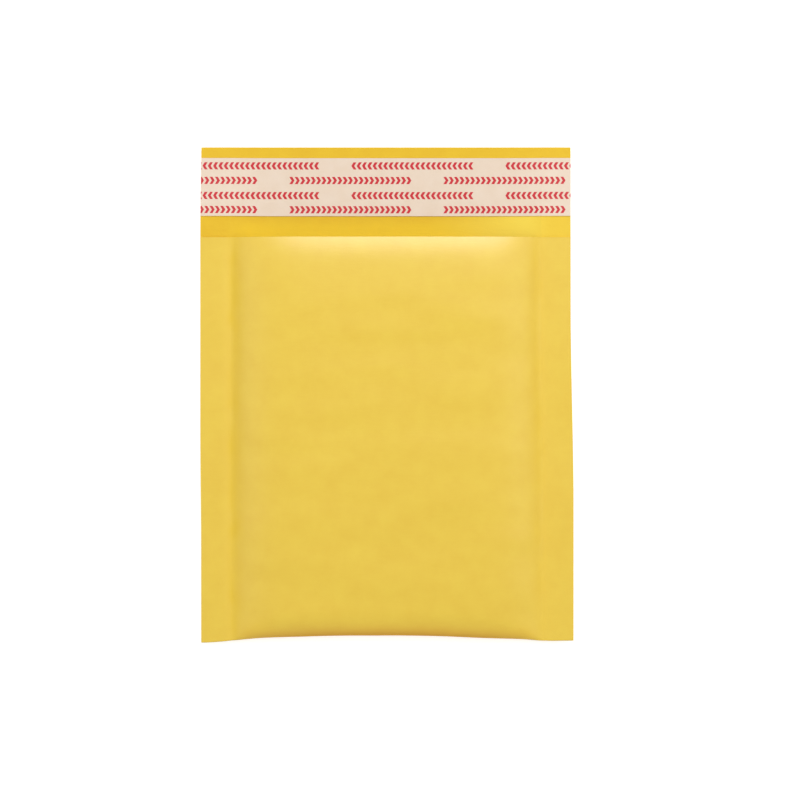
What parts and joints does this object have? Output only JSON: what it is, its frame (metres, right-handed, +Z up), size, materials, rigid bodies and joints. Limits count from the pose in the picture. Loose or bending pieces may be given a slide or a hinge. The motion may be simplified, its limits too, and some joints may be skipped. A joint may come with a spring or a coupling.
{
  "type": "padded envelope",
  "caption": "Kraft paper mailing envelope lined with bubble film, lying on its back with its self-seal flap open and a peel-off liner over the adhesive.",
  "frame": {"origin": "middle of the open envelope's outline, on the surface that its back lies on", "axes": "+X to the right when looking at the front panel, +Y from the bottom fold towards the flap, +Z up, out of the front panel"},
  "size_m": [0.18, 0.24, 0.0133],
  "materials": {
    "kraft_paper": "matt golden kraft paper",
    "bubble_film": "clear polyethylene bubble film",
    "hot_melt_adhesive": "glossy pale amber hot-melt adhesive",
    "release_paper": "cream siliconed release paper with a low sheen"
  },
  "bodies": {
    "root": {"kraft_outer": "kraft_paper", "bubble_liner": "bubble_film", "adhesive_strip": "hot_melt_adhesive", "release_liner": "release_paper"}
  },
  "joints": []
}
